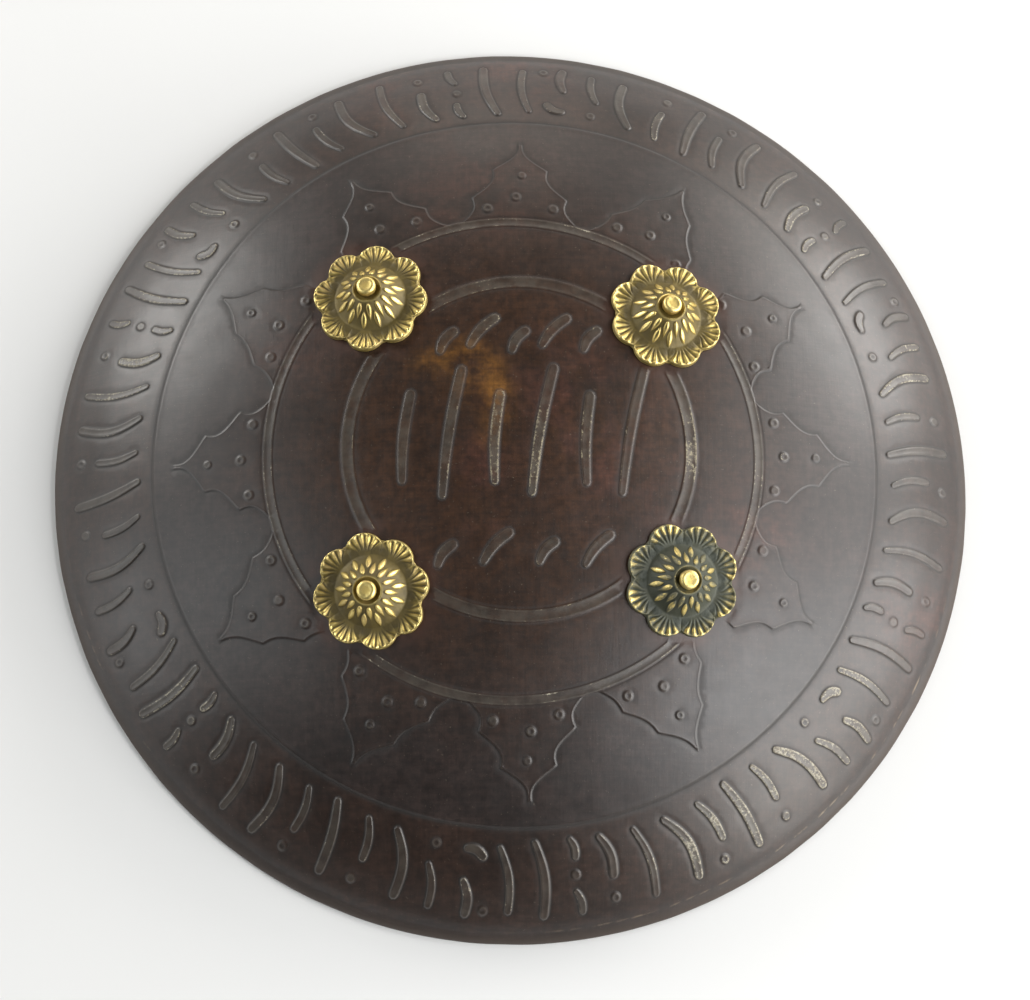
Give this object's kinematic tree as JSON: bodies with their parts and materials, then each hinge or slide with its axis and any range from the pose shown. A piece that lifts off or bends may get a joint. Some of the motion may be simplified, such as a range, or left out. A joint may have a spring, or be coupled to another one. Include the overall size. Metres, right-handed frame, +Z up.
{
  "type": "dhal shield",
  "caption": "Round convex hide shield with a rolled rim, low carved relief in rings and rows, and cast brass flower bosses held by studs.",
  "frame": {"origin": "on the ground under the crown, at the middle of the rim's circle", "axes": "+Z up out of the domed front, +Y towards the shield's upper side as it is worn, +X to the right seen from the front"},
  "size_m": [0.4, 0.4, 0.0782],
  "materials": {
    "lacquered_hide": "dark brown lacquer, satin, worn pale along the relief",
    "boss_brass": "cast brass, polished on the high places and dark in the hollows",
    "stud_brass": "rubbed brass"
  },
  "bodies": {
    "root": {"hide_dish": "lacquered_hide", "boss_upper_left": "boss_brass", "boss_upper_right": "boss_brass", "boss_lower_left": "boss_brass", "boss_lower_right": "boss_brass", "stud_upper_left": "stud_brass", "stud_upper_right": "stud_brass", "stud_lower_left": "stud_brass", "stud_lower_right": "stud_brass"}
  },
  "joints": []
}
